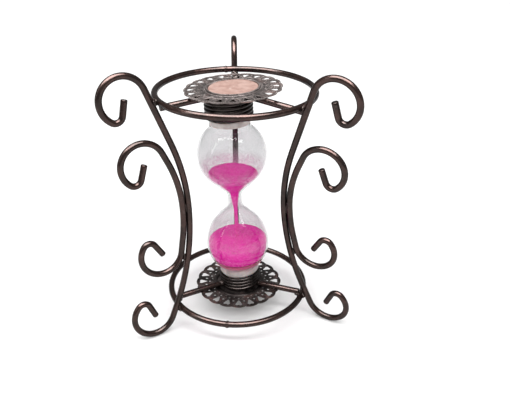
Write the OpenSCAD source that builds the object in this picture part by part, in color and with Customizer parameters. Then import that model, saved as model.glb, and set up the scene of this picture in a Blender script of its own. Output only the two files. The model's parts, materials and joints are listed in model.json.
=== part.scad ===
// Hourglass in a scrolled wire stand: a glass vial of sand held end to end between
// two wire coil cups, three scrolled legs, two wire rings and two filigree caps.
// Millimetres, +Z up, standing on z = 0, axis of the rings on x = y = 0, front towards -Y.

/* [Wire stand] */
// Diameter of the wire of the rings, spokes and scrolls
wire_d = 3; // [2.4:0.1:4]
// Centreline radius of the top ring
top_ring_r = 36; // [30:0.5:45]
// Centreline radius of the bottom ring
bottom_ring_r = 35; // [30:0.5:45]
// Height of the bottom ring's centreline above the table
base_ring_z = 11; // [9:0.5:16]
// Distance between the planes of the two rings
ring_spacing = 105; // [95:1:120]
// Distance from the axis to a leg at its waist
waist_r = 26; // [24:0.5:32]

/* [Scrolls] */
// Bending radius of the large curls
curl_r = 10.2; // [8:0.2:13]
// Bending radius of the small hook at the end of a curl
hook_r = 3.2; // [2.4:0.1:5]
// Angle of the small hook
hook_bend = 113; // [80:1:130]
// Straight tail after the hook
tail_len = 7; // [4:0.5:10]
// Bending radius of the upper part of a leg
leg_top_r = 96; // [80:1:140]
// Bending radius of the lower part of a leg
leg_foot_r = 120; // [90:1:160]
// Angle of a leg's top curl
crown_curl = 214; // [190:1:225]
// Angle of a leg's foot curl
foot_curl = 200; // [180:1:215]
// Bending radius of a side scroll above its waist
side_top_r = 61; // [45:1:90]
// Angle of a side scroll's flare above its waist
side_top_flare = 24; // [15:1:35]
// Bending radius of a side scroll below its waist
side_foot_r = 80; // [60:1:110]
// Angle of a side scroll's flare below its waist
side_foot_flare = 11; // [6:1:25]
// Angle of both curls of a side scroll
side_curl = 205; // [180:1:215]

/* [Coil cups] */
// Diameter of the coil wire
coil_wire_d = 1.8; // [1.5:0.1:1.8]
// Outer diameter of the top coil
top_coil_d = 22.6; // [21:0.2:24]
// Outer diameter of the bottom coil
bottom_coil_d = 21; // [20:0.2:22]
// Rise of a coil in one turn
coil_pitch = 1.82; // [1.82:0.01:1.88]

/* [Filigree caps] */
// Radius of a cap over its scallops
cap_r = 22.4; // [20:0.2:24]
// Number of scallops and fan openings round a cap
cap_fans = 20; // [12:1:28]
// Thickness of a cap
cap_t = 0.8; // [0.6:0.1:1.2]
// Tilt of the top cap, its right side up
top_cap_tilt = 2.8; // [0:0.1:3]

/* [Vial] */
// Lean of the vial and its cups to the left
vial_lean = 2.8; // [0:0.1:3]
// Radius of the round upper bulb
upper_bulb_r = 16.8; // [14:0.2:18]
// Radius of the drop-shaped lower bulb
lower_bulb_r = 15.8; // [14:0.2:18]
// Outer radius of the neck
neck_r = 3.5; // [3:0.1:5]
// Radius of the bore through the neck
neck_bore_r = 1.4; // [1:0.1:2]
// Thickness of the glass
glass_t = 1; // [0.8:0.1:1.5]
// Free space between the vial and its cups
cup_gap = 0.3; // [0.2:0.05:0.6]
// Height of the upper sand above the neck
upper_sand_h = 13; // [3:0.5:18]
// Level of the lower sand above the bottom ring
lower_sand_z = 27; // [18:0.5:34]

/* [Hidden] */
$fn = 96;

// Heights measured from the bottom ring's plane are marked _z, and mid_z from the table
half_spacing = ring_spacing / 2;
mid_z = base_ring_z + half_spacing;

// Legs in the order left, right, rear. A leg lies in a flat plane through the axis at
// leg_angle, and the plane is then tipped sideways by leg_tilt.
leg_angle = [210, -31, 91];
leg_tilt = [-4.5, -7.5, 0];
// Crown of each top curl above mid height, and the flare of each leg above and below its waist
crown_rise = [65, 67.5, 64.3];
top_flare = [20.1, 18.9, 20];
foot_flare = [25, 22.5, 26];
// How much farther out than waist_r each waist stands
waist_shift = [0, 0, 0.3];
foot_drop = mid_z - wire_d / 2;
joint_gap = 0.01;
side_gap = 0.06;
side_top_straight = 5;
side_foot_straight = 7;

// Spokes in the same order, by their own directions
top_spoke_angle = [205, -36, 91];
bottom_spoke_angle = [209, -23, 91];
top_spoke_end_r = 35.6;
bottom_spoke_end_r = 34.2;
spoke_gap = 0.05;
top_spoke_drop = 1.5;
bottom_spoke_rise = 2.3;

// Coils, from their first turn upwards
lean_pivot_z = 32;
top_coil_start_z = 93.9;
top_coil_bend = 1980;
bottom_coil_start_z = 1.9;
bottom_coil_bend = 1208;
coil_start_angle = 209;

// Caps
top_cap_z = 106;
top_cap_x = -1;
bottom_cap_x = 0.6;
scallop_r = 6;
fan_hole_r = cap_r - 7.1;
fan_hole_d = 1.1;
outer_hole_r = cap_r - 5.1;
outer_hole_d = 1.3;
inner_hole_r = cap_r - 8.2;
inner_hole_d = 0.8;
medallion_r = 11.4;
medallion_h = 0.6;
rope_r = 11.85;
rope_d = 0.7;
solder_r = 1.5;
solder_x = 0.9;
solder_y = 14.6;
solder_gap = 0.02;
collar_inner_r = 11.3;
collar_outer_r = 13.2;
collar_h = 0.3;

// Vial
upper_bulb_z = 74.3;
lower_bulb_z = 25.5;
neck_z = 51;
lower_bulb_h = 19;
lower_join = 50;
upper_join = 45;
throat_bend_r = 5.5;
top_tube_r = 9.6;
bottom_tube_r = 10;
vial_bottom_z = 0.95;
vial_top_z = 104.1;
bottom_shoulder_z = 9.1;
top_shoulder_z = 93.1;
shoulder_h = 0.6;
fill_gap = 0.08;
top_plug_z = 89.5;
bottom_plug_z = 18.2;
stream_r = 1.1;

// Welds. A bead_in is how far a bead lies from the ring or spoke, towards the middle height.
leg_bead_r = 1.5;
leg_bead_in = 0.6;
spoke_bead_r = 1.3;
spoke_bead_in = 1.8;
coil_bead_r = 1.4;
coil_bead_in = 0.9;
waist_tack_r = 1.2;
lower_tack_r = 1.3;
lower_tack_drop = 25;
lower_tack_out = 0.7;

metal = [0.30, 0.23, 0.21];
antique = [0.45, 0.39, 0.37];
copper = [0.83, 0.64, 0.58];
frost = [0.80, 0.77, 0.77];
pink = [0.86, 0.27, 0.62];

// ---- wire ----

// Angle that takes half the joint gap off the end of a bend
function nip(bend_r) = joint_gap / 2 / bend_r * 180 / PI;

// A piece of wire that starts at the origin along +X and stays in the XY plane.
// Each step is [bending radius, angle], or [0, length] for a straight run. The steps meet
// end to end with the joint gap between them, so that each stays a true cylinder or ring.
module wire_run(steps, i = 0) {
  r = steps[i][0];
  amount = steps[i][1];
  side = sign(amount);
  if (r == 0)
    translate([joint_gap / 2, 0, 0]) rotate([0, 90, 0])
      cylinder(d = wire_d, h = amount - joint_gap);
  else
    translate([0, side * r, 0])
      rotate([0, 0, side > 0 ? nip(r) - 90 : 90 + amount + nip(r)])
        rotate_extrude(angle = abs(amount) - 2 * nip(r)) translate([r, 0]) circle(d = wire_d);
  if (i < len(steps) - 1) {
    if (r == 0)
      translate([amount, 0, 0]) wire_run(steps, i + 1);
    else
      translate([0, side * r, 0]) rotate([0, 0, amount])
        translate([0, -side * r, 0]) wire_run(steps, i + 1);
  }
}

// Straight run that brings the crown of a curl to the wanted height above the waist
function run_to_crown(height, bend_r, flare) =
  (height - bend_r * sin(flare) - curl_r * (1 - sin(flare))) / cos(flare);

// Stands a leg plane up at leg number i
module in_leg_plane(i) {
  translate([0, 0, mid_z])
    rotate([0, 0, leg_angle[i]])
      rotate([90 - leg_tilt[i], 0, 0]) children();
}

// How far round the stand a leg has moved where it passes a ring, side is 1 at the top
function ring_angle(i, ring_r, side) =
  leg_angle[i] + side * atan(half_spacing * sin(leg_tilt[i]) / (ring_r + wire_d));

module leg_scroll(i) {
  lean = cos(leg_tilt[i]);
  up = run_to_crown(crown_rise[i] / lean, leg_top_r, top_flare[i]);
  down = run_to_crown(foot_drop / lean, leg_foot_r, foot_flare[i]);
  color(metal) in_leg_plane(i) translate([waist_r + waist_shift[i], 0, 0]) {
    rotate([0, 0, 90])
      wire_run([[leg_top_r, -top_flare[i]], [0, up], [curl_r, -crown_curl],
                [hook_r, -hook_bend], [0, tail_len]]);
    rotate([0, 0, -90])
      wire_run([[leg_foot_r, foot_flare[i]], [0, down], [curl_r, foot_curl],
                [hook_r, hook_bend], [0, tail_len]]);
  }
}

module side_scroll(i) {
  color(metal) in_leg_plane(i)
    translate([waist_r + waist_shift[i] + wire_d + side_gap, 0, 0]) {
    rotate([0, 0, 90])
      wire_run([[side_top_r, -side_top_flare], [0, side_top_straight], [curl_r, -side_curl],
                [hook_r, -hook_bend], [0, tail_len]]);
    rotate([0, 0, -90])
      wire_run([[side_foot_r, side_foot_flare], [0, side_foot_straight], [curl_r, side_curl],
                [hook_r, hook_bend], [0, tail_len]]);
  }
}

module wire_ring(r, z) {
  color(metal) translate([0, 0, z])
    rotate_extrude() translate([r, 0]) circle(d = wire_d);
}

// ---- spokes ----

// Sideways place of the leaning vial axis at a height above the bottom ring
function axis_x(z) = -(z - lean_pivot_z) * tan(vial_lean);

// Where a spoke meets the outside of a coil
function spoke_start(angle, coil_d, z) =
  coil_d / 2 + axis_x(z) * cos(angle) + 0.35;

// Straight wire in a vertical plane at an angle, between two [radius, height] points
module spoke(angle, start, end) {
  run = end - start;
  slope = atan2(run[1], run[0]);
  color(metal) translate([0, 0, base_ring_z]) rotate([0, 0, angle])
    translate([start[0], 0, start[1]]) rotate([0, 90 - slope, 0])
      cylinder(d = wire_d, h = norm(run));
}

module top_spoke(i) {
  angle = top_spoke_angle[i];
  inner_z = ring_spacing - top_spoke_drop;
  spoke(angle,
        [spoke_start(angle, top_coil_d, inner_z), inner_z],
        [top_spoke_end_r, ring_spacing - wire_d - spoke_gap]);
}

module bottom_spoke(i) {
  angle = bottom_spoke_angle[i];
  spoke(angle,
        [spoke_start(angle, bottom_coil_d, bottom_spoke_rise), bottom_spoke_rise],
        [bottom_spoke_end_r, wire_d + spoke_gap]);
}

// ---- coil cups ----

// Leans its children with the vial. They are drawn from the bottom ring's plane.
module leaning() {
  translate([0, 0, base_ring_z + lean_pivot_z])
    rotate([0, -vial_lean, 0]) translate([0, 0, -lean_pivot_z]) children();
}

// Rising coil built from flat half turns that tip to alternate sides, so that each
// half turn runs on smoothly from the last one.
module coil(r, total) {
  tip = atan(coil_pitch / (4 * r));
  for (k = [0 : ceil(total / 180) - 1]) {
    rotate([0, 0, 180 * k])
      translate([0, 0, coil_pitch * (k + 0.5) / 2])
        rotate([0, tip, 0])
          rotate([0, 0, nip(r)])
            rotate_extrude(angle = min(180, total - 180 * k) - 2 * nip(r))
              translate([r, 0]) circle(d = coil_wire_d);
  }
}

module coil_cup(outer_d, start_z, total) {
  color(metal) leaning() translate([0, 0, start_z]) rotate([0, 0, coil_start_angle])
    coil((outer_d - coil_wire_d) / 2, total);
}

// ---- filigree caps ----

// Outline of one fan opening, narrow towards the middle of the cap
module fan_opening() {
  polygon([[cap_r - 5.8, -0.35], [cap_r - 2.5, -1.8], [cap_r - 1.5, -1],
           [cap_r - 1.9, 0], [cap_r - 1.5, 1], [cap_r - 2.5, 1.8],
           [cap_r - 5.8, 0.35]]);
}

// Flat cap with a shallow scalloped rim, a row of fan openings and three rows of small holes
module filigree_cap() {
  step = 360 / cap_fans;
  through = cap_t + 2;
  rim_r = cap_r - scallop_r;
  color(antique) translate([0, 0, -cap_t / 2]) difference() {
    union() {
      cylinder(r = rim_r + 1, h = cap_t);
      for (k = [0 : cap_fans - 1])
        rotate([0, 0, k * step]) translate([rim_r, 0, 0]) cylinder(r = scallop_r, h = cap_t);
    }
    for (k = [0 : cap_fans - 1]) {
      rotate([0, 0, k * step]) translate([0, 0, -1]) {
        linear_extrude(through) fan_opening();
        translate([fan_hole_r, 0, 0]) cylinder(d = fan_hole_d, h = through);
        rotate([0, 0, step / 2]) {
          translate([outer_hole_r, 0, 0]) cylinder(d = outer_hole_d, h = through);
          translate([inner_hole_r, 0, 0]) cylinder(d = inner_hole_d, h = through);
        }
      }
    }
  }
}

// Puts its children on the tilted top cap, drawn from the middle of the cap
module on_top_cap() {
  translate([top_cap_x, 0, base_ring_z + top_cap_z])
    rotate([0, -top_cap_tilt, 0]) children();
}

module top_filigree_cap() {
  on_top_cap() filigree_cap();
}

module bottom_filigree_cap() {
  translate([bottom_cap_x, 0, base_ring_z]) filigree_cap();
}

// Smooth copper medallion with a rounded edge
module top_medallion() {
  color(copper) on_top_cap() translate([0, 0, cap_t / 2]) rotate_extrude() {
    square([medallion_r - medallion_h, medallion_h]);
    intersection() {
      translate([medallion_r - medallion_h, 0]) circle(r = medallion_h);
      square([medallion_r, medallion_h]);
    }
  }
}

module top_rope_edge() {
  color(antique) on_top_cap() translate([0, 0, cap_t / 2 + rope_d / 2])
    rotate_extrude() translate([rope_r, 0]) circle(d = rope_d);
}

// Bead of solder that holds the cap to the rear spoke
module top_solder_bead() {
  color(metal) on_top_cap() translate([solder_x, solder_y, cap_t / 2 + solder_gap])
    difference() {
      sphere(r = solder_r);
      translate([0, 0, -2 * solder_r]) cube(4 * solder_r, center = true);
    }
}

module bottom_collar() {
  color(antique) translate([bottom_cap_x, 0, base_ring_z + cap_t / 2]) difference() {
    cylinder(r = collar_outer_r, h = collar_h);
    translate([0, 0, -1]) cylinder(r = collar_inner_r, h = collar_h + 2);
  }
}

// ---- welds ----

module bead_at(angle, r, z, bead_r) {
  translate([0, 0, base_ring_z]) rotate([0, 0, angle]) translate([r, 0, z]) sphere(r = bead_r);
}

// Beads where leg i and spoke i meet a ring and where the spoke meets its coil. Up is 1 on
// the top ring and -1 on the bottom ring, and inner_z is the height of the spoke at the coil.
module beads(i, ring_r, ring_z, up, spoke_angle, coil_d, inner_z) {
  bead_at(ring_angle(i, ring_r, up), ring_r + wire_d / 2, ring_z - up * leg_bead_in, leg_bead_r);
  bead_at(spoke_angle, ring_r - spoke_bead_in, ring_z - up * spoke_bead_in, spoke_bead_r);
  bead_at(spoke_angle, spoke_start(spoke_angle, coil_d, inner_z), inner_z - up * coil_bead_in,
          coil_bead_r);
}

module top_weld_beads() {
  color(metal) for (i = [0 : 2])
    beads(i, top_ring_r, ring_spacing, 1, top_spoke_angle[i], top_coil_d,
          ring_spacing - top_spoke_drop);
}

module bottom_weld_beads() {
  color(metal) for (i = [0 : 2])
    beads(i, bottom_ring_r, 0, -1, bottom_spoke_angle[i], bottom_coil_d, bottom_spoke_rise);
}

// Two tacks join each side scroll to its leg, one at the waist and one lower down
module scroll_tack_welds() {
  leg_bulge = leg_foot_r - sqrt(pow(leg_foot_r, 2) - pow(lower_tack_drop, 2));
  color(metal) for (i = [0 : 2])
    in_leg_plane(i) translate([waist_r + waist_shift[i], 0, 0]) {
      translate([(wire_d + side_gap) / 2, 0, 0]) sphere(r = waist_tack_r);
      translate([leg_bulge + wire_d / 2 + lower_tack_out, -lower_tack_drop, 0])
        sphere(r = lower_tack_r);
    }
}

// ---- vial ----

// Points of an arc, with radii rx and ry, from angle a to angle b
function arc(x, y, rx, ry, a, b, n) =
  [for (k = [0 : n]) [x + rx * cos(a + (b - a) * k / n), y + ry * sin(a + (b - a) * k / n)]];

// Outline of the vial from its bottom end to its top end, drawn in from the outside by inset
function vial_outline(inset, throat_r) =
  let (
    low_r = lower_bulb_r - inset,
    low_h = lower_bulb_h - inset,
    high_r = upper_bulb_r - inset,
    low_tube = bottom_tube_r - inset,
    high_tube = top_tube_r - inset,
    low_end = (bottom_coil_d / 2 - coil_wire_d) - cup_gap - inset,
    high_end = (top_coil_d / 2 - coil_wire_d) - cup_gap - inset,
    // below the neck the wall leaves the drop shape, runs straight and bends upright
    low_slope = atan2(low_r * sin(lower_join), low_h * cos(lower_join)),
    low_bend_r = throat_r + throat_bend_r * (1 - cos(low_slope)),
    low_bend_z = lower_bulb_z + low_h * sin(lower_join)
                 + (low_r * cos(lower_join) - low_bend_r) / tan(low_slope),
    // above the neck it does the same from the round bulb
    high_bend_r = throat_r + throat_bend_r * (1 - cos(upper_join)),
    high_bend_z = upper_bulb_z - high_r * sin(upper_join)
                  - (high_r * cos(upper_join) - high_bend_r) / tan(upper_join),
    bend_x = throat_r + throat_bend_r
  )
  concat(
    [[low_end, vial_bottom_z], [low_end, bottom_shoulder_z]],
    [[low_tube, bottom_shoulder_z + shoulder_h]],
    arc(0, lower_bulb_z, low_r, low_r, -acos(low_tube / low_r), 0, 14),
    arc(0, lower_bulb_z, low_r, low_h, lower_join / 14, lower_join, 13),
    arc(bend_x, low_bend_z + throat_bend_r * sin(low_slope), throat_bend_r, throat_bend_r,
        180 + low_slope, 180, 8),
    arc(bend_x, high_bend_z - throat_bend_r * sin(upper_join), throat_bend_r, throat_bend_r,
        180, 180 - upper_join, 8),
    arc(0, upper_bulb_z, high_r, high_r, -upper_join, acos(high_tube / high_r), 24),
    [[high_tube, top_shoulder_z - shoulder_h], [high_end, top_shoulder_z]],
    [[high_end, vial_top_z]]
  );

// Solid of revolution inside an outline
module turned(points) {
  last = len(points) - 1;
  rotate_extrude() polygon(concat([[0, points[0][1]]], points, [[0, points[last][1]]]));
}

module glass_vial() {
  color([0.85, 0.87, 0.88, 0.4]) leaning() difference() {
    turned(vial_outline(0, neck_r));
    turned(bore_outline());
  }
}

// The bore runs on past both ends of the glass
function bore_outline() =
  let (
    inner = vial_outline(glass_t, neck_bore_r),
    last = len(inner) - 1
  )
  concat([[inner[0][0], inner[0][1] - 1]], inner, [[inner[last][0], inner[last][1] + 1]]);

// The inside of the vial between two heights, a little smaller than the glass
module filling(from_z, to_z) {
  inside = vial_outline(glass_t + fill_gap, neck_bore_r - fill_gap);
  radius_at = [for (p = inside) [p[1], p[0]]];
  leaning() turned(concat(
    [[lookup(from_z, radius_at), from_z]],
    [for (p = inside) if (p[1] > from_z + 0.01 && p[1] < to_z - 0.01) p],
    [[lookup(to_z, radius_at), to_z]]));
}

module bottom_plug() {
  color(frost) filling(vial_bottom_z, bottom_plug_z);
}

module top_plug() {
  color(frost) filling(top_plug_z, vial_top_z);
}

module upper_sand() {
  color(pink) filling(neck_z + 1.5, neck_z + upper_sand_h);
}

module sand_stream() {
  color(pink) leaning() translate([0, 0, lower_sand_z + 0.05])
    cylinder(r = stream_r, h = neck_z + 1.4 - lower_sand_z);
}

module lower_sand() {
  color(pink) filling(bottom_plug_z + fill_gap, lower_sand_z);
}

wire_ring(top_ring_r, base_ring_z + ring_spacing);  // top_ring
wire_ring(bottom_ring_r, base_ring_z);  // bottom_ring
leg_scroll(0);  // leg_scroll_left
leg_scroll(1);  // leg_scroll_right
leg_scroll(2);  // leg_scroll_rear
side_scroll(0);  // side_scroll_left
side_scroll(1);  // side_scroll_right
side_scroll(2);  // side_scroll_rear
top_spoke(0);  // top_spoke_left
top_spoke(1);  // top_spoke_right
top_spoke(2);  // top_spoke_rear
bottom_spoke(0);  // bottom_spoke_left
bottom_spoke(1);  // bottom_spoke_right
bottom_spoke(2);  // bottom_spoke_rear
coil_cup(top_coil_d, top_coil_start_z, top_coil_bend);  // top_coil_cup
coil_cup(bottom_coil_d, bottom_coil_start_z, bottom_coil_bend);  // bottom_coil_cup
top_filigree_cap();
top_medallion();
top_rope_edge();
top_solder_bead();
bottom_filigree_cap();
bottom_collar();
top_weld_beads();
bottom_weld_beads();
scroll_tack_welds();
glass_vial();
top_plug();
bottom_plug();
upper_sand();
sand_stream();
lower_sand();
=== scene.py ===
"""Looks of a small hourglass in a scrolled wire stand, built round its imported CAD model."""

import json
import math

import bmesh
import bpy
from mathutils import Matrix, Vector, geometry, noise


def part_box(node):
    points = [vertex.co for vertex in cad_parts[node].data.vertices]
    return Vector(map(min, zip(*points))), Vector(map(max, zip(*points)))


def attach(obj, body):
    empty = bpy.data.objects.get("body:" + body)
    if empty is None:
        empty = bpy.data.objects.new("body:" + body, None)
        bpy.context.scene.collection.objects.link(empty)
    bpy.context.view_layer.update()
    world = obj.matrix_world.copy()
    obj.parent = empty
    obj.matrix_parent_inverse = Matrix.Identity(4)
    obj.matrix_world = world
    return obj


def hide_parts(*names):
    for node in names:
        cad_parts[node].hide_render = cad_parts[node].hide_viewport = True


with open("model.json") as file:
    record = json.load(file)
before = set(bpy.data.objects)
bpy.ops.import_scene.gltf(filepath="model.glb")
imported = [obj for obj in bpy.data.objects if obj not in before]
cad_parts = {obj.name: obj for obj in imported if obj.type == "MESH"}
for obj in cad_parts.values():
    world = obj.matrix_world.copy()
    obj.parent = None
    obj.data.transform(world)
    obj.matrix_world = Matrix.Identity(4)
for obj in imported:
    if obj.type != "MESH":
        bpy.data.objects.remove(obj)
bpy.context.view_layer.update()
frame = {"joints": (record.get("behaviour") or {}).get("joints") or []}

MM = 0.001
scene = bpy.context.scene


# ---- places and sizes, in millimetres, from the frame ----

def box_mm(node):
    low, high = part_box(node)
    return low / MM, high / MM


def middle(node, axis):
    low, high = box_mm(node)
    return (low[axis] + high[axis]) / 2


ring_low, ring_high = box_mm("bottom_ring")
WIRE_R = (ring_high.z - ring_low.z) / 2
BASE_Z = middle("bottom_ring", 2)
TOP_Z = middle("top_ring", 2)
SPACING = TOP_Z - BASE_Z
MID_Z = BASE_Z + SPACING / 2
BOTTOM_R = (ring_high.x - ring_low.x) / 2 - WIRE_R
top_low, top_high = box_mm("top_ring")
TOP_R = (top_high.x - top_low.x) / 2 - WIRE_R

SPIN = frame["joints"][0]
LEAN = math.atan2(-SPIN["axis"][0], SPIN["axis"][2])
PIVOT = Vector(SPIN["pos_m"]) / MM

# Vial and cups are drawn upright from the bottom ring's plane, then leaned
LEANING = (Matrix.Translation(PIVOT) @ Matrix.Rotation(-LEAN, 4, "Y")
           @ Matrix.Translation(Vector((0, 0, BASE_Z)) - PIVOT))

# Scrolls, in the order left, right, rear
NAMES = ("left", "right", "rear")
LEG_ANGLE = (210, -31, 91)
LEG_TILT = (-4.5, -7.5, 0)
CROWN_RISE = (65, 67.5, 64.3)
TOP_FLARE = (20.1, 18.9, 20)
FOOT_FLARE = (25, 22.5, 26)
WAIST_R = (26, 26, 26.3)
LEG_TOP_R, LEG_FOOT_R = 96, 120
CURL_R, HOOK_R, HOOK_BEND, TAIL = 10.2, 3.2, 113, 7
CROWN_CURL, FOOT_CURL, SIDE_CURL = 214, 200, 205
# Bending radius, flare and straight run of a side scroll, above and below its waist
SIDE_TOP = (61, 24, 5)
SIDE_FOOT = (80, 11, 7)
SIDE_GAP = 0.06
LOWER_TACK_DROP, LOWER_TACK_OUT = 25, 2.2

# Spokes in the same order. Their inner ends are measured from the bottom ring's plane.
TOP_SPOKE_ANGLE = (205, -36, 91)
BOTTOM_SPOKE_ANGLE = (209, -23, 91)
TOP_SPOKE_END_R, BOTTOM_SPOKE_END_R = 35.6, 34.2
TOP_SPOKE_Z, BOTTOM_SPOKE_Z = SPACING - 1.5, 2.3
SPOKE_GAP = 0.05
SPOKE_TO_COIL = 0.35

COIL_WIRE_R = 0.9
COIL_PITCH = 1.82
COIL_START = 209
TOP_COIL_R, TOP_COIL_Z, TOP_COIL_BEND = 10.4, 93.9, 1980
BOTTOM_COIL_R, BOTTOM_COIL_Z, BOTTOM_COIL_BEND = 9.6, 1.9, 1208

# Vial, upright, with heights from the bottom ring's plane
UPPER_BULB_R, UPPER_BULB_Z = 16.8, 74.3
LOWER_BULB_R, LOWER_BULB_H, LOWER_BULB_Z = 15.8, 19, 25.5
UPPER_JOIN, LOWER_JOIN = 45, 50
NECK_R, THROAT_BEND_R = 3.5, 5.5
TOP_TUBE_R, BOTTOM_TUBE_R = 9.6, 10
CUP_GAP = 0.3
VIAL_BOTTOM_Z, VIAL_TOP_Z = 0.95, 104.1
LOW_TUBE_Z, HIGH_TUBE_Z = 9.7, 92.5
SHOULDER_H = 0.6
BOTTOM_PLUG_Z, TOP_PLUG_Z = 17.3, 90.2
# Blown glass is thin, and the sand lies a millimetre inside its outer surface, as in the CAD
GLASS_WALL = 0.45
SAND_INSET, SAND_THROAT_R = 1.0, 1.8
UPPER_SAND_Z = (52.5, 64)
LOWER_SAND_Z = (18.3, 27)
STREAM_Z = (27.6, 52.6)

CAP_TILT = 2.8
CAP_FANS = 20
CAP_T, SHEET_T = 0.8, 0.35
CAP_R = 22.4
SCALLOP_R = 6
RIM_R = CAP_R - SCALLOP_R
# Round holes of a cap: distance from its middle, and diameter
FAN_HOLE_R, FAN_HOLE_D = CAP_R - 7.1, 1.1
OUTER_HOLE_R, OUTER_HOLE_D = CAP_R - 5.1, 1.3
INNER_HOLE_R, INNER_HOLE_D = CAP_R - 8.2, 0.8
ROPE_R = 11.85
COLLAR_R, COLLAR_HALF_W, COLLAR_H = 12.25, 0.92, 0.42


# ---- camera ----

def make_camera():
    data = bpy.data.cameras.new("camera")
    data.sensor_width = 36
    data.lens = 40.19
    data.clip_start, data.clip_end = 0.01, 20
    cam = bpy.data.objects.new("camera", data)
    x, y, above_ring = 0.001853, -0.248617, 0.181703
    yaw, pitch, roll = -1.662, -28.236, -0.349
    cam.matrix_world = (Matrix.Translation((x, y, above_ring + BASE_Z * MM))
                        @ Matrix.Rotation(math.radians(yaw), 4, "Z")
                        @ Matrix.Rotation(math.radians(90 + pitch), 4, "X")
                        @ Matrix.Rotation(math.radians(-roll), 4, "Z"))
    scene.collection.objects.link(cam)
    scene.camera = cam


make_camera()


# ---- shader helpers ----

# Metres that the height ramps of the materials span, from the table up
HEIGHT_SPAN = 0.12


class Shader:
    """A node material with a Principled shader and short calls for what feeds it."""

    def __init__(self, name, **sockets):
        self.material = bpy.data.materials.new(name)
        self.material.use_nodes = True
        self.tree = self.material.node_tree
        self.bsdf = self.tree.nodes["Principled BSDF"]
        for socket, value in sockets.items():
            self.bsdf.inputs[socket.replace("_", " ")].default_value = value
        self.where = self.tree.nodes.new("ShaderNodeTexCoord")

    def link(self, value, socket):
        if isinstance(value, bpy.types.NodeSocket):
            self.tree.links.new(value, socket)
        elif isinstance(value, (tuple, list)) and len(value) == 3 and socket.type == "RGBA":
            socket.default_value = (*value, 1)
        else:
            socket.default_value = value

    def feed(self, socket, value):
        self.link(value, self.bsdf.inputs[socket])

    def node(self, kind, output=0, props=(), **sockets):
        """A new node's output. Sockets go by name, or by number as i0, i1 and so on."""
        made = self.tree.nodes.new(kind)
        for key, value in dict(props).items():
            setattr(made, key, value)
        for socket, value in sockets.items():
            key = int(socket[1:]) if socket[0] == "i" and socket[1:].isdigit() else socket
            self.link(value, made.inputs[key])
        return made.outputs[output]

    def place(self, scale=(1, 1, 1), uv=False):
        source = self.where.outputs["UV" if uv else "Object"]
        return self.node("ShaderNodeMapping", Vector=source, Scale=scale)

    def height(self):
        """Height above the table as a share of HEIGHT_SPAN."""
        up = self.node("ShaderNodeSeparateXYZ", 2, Vector=self.where.outputs["Object"])
        return self.spread(up, 0, HEIGHT_SPAN, 0, 1)

    def noise(self, scale, detail=4, rough=0.55, vector=None):
        return self.node("ShaderNodeTexNoise", Vector=vector or self.place(),
                         Scale=scale, Detail=detail, Roughness=rough)

    def cells(self, scale, output=0):
        return self.node("ShaderNodeTexVoronoi", output, Vector=self.place(), Scale=scale)

    def ramp(self, value, *stops):
        """A colour ramp. A stop is (place, grey) or (place, colour)."""
        made = self.tree.nodes.new("ShaderNodeValToRGB")
        elements = made.color_ramp.elements
        while len(elements) < len(stops):
            elements.new(0.5)
        for element, (at, colour) in zip(elements, stops):
            element.position = at
            element.color = (*colour, 1) if isinstance(colour, tuple) else (colour,) * 3 + (1,)
        self.link(value, made.inputs[0])
        return made.outputs[0]

    def mix(self, share, a, b):
        return self.node("ShaderNodeMix", 2, {"data_type": "RGBA"}, i0=share, i6=a, i7=b)

    def math(self, how, a, b):
        return self.node("ShaderNodeMath", 0, {"operation": how}, i0=a, i1=b)

    def spread(self, value, low, high, to_low, to_high):
        return self.node("ShaderNodeMapRange", 0, Value=value, i1=low, i2=high, i3=to_low,
                         i4=to_high)

    def bump(self, height, distance, strength):
        return self.node("ShaderNodeBump", Height=height, Distance=distance, Strength=strength)


def lacquered_metal(name, dark, warm, worn, streaks=True, roughness=(0.16, 0.30)):
    """Dark antique lacquer over wire: cloudy tint, rubbed spots, fine pits and drawing lines."""
    s = Shader(name, Metallic=0.92, Specular_Tint=(0.2, 0.19, 0.18, 1), Coat_Weight=0.4,
               Coat_Roughness=0.14, Coat_IOR=1.4)
    cloud = s.noise(140, 5)
    fine = s.noise(2300, 3)
    base = s.mix(s.ramp(cloud, (0.38, 0.0), (0.66, 1.0)), dark, warm)
    rub = s.math("MULTIPLY", s.ramp(s.noise(420, 6, 0.7), (0.56, 0.0), (0.78, 1.0)), 0.6)
    base = s.mix(rub, base, worn)
    base = s.mix(s.math("MULTIPLY", s.ramp(fine, (0.3, 1.0), (0.46, 0.0)), 0.4), base,
                 (0.012, 0.009, 0.008))
    s.feed("Base Color", base)
    s.feed("Roughness", s.spread(s.noise(600, 4), 0.3, 0.7, *roughness))
    height = s.math("ADD", s.math("MULTIPLY", fine, 0.35), cloud)
    if streaks:
        lines = s.noise(1.0, 2, vector=s.place((0.25, 34, 1), uv=True))
        height = s.math("ADD", height, s.math("MULTIPLY", lines, 0.3))
    s.feed("Normal", s.bump(height, 0.00012, 0.35))
    return s.material


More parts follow.
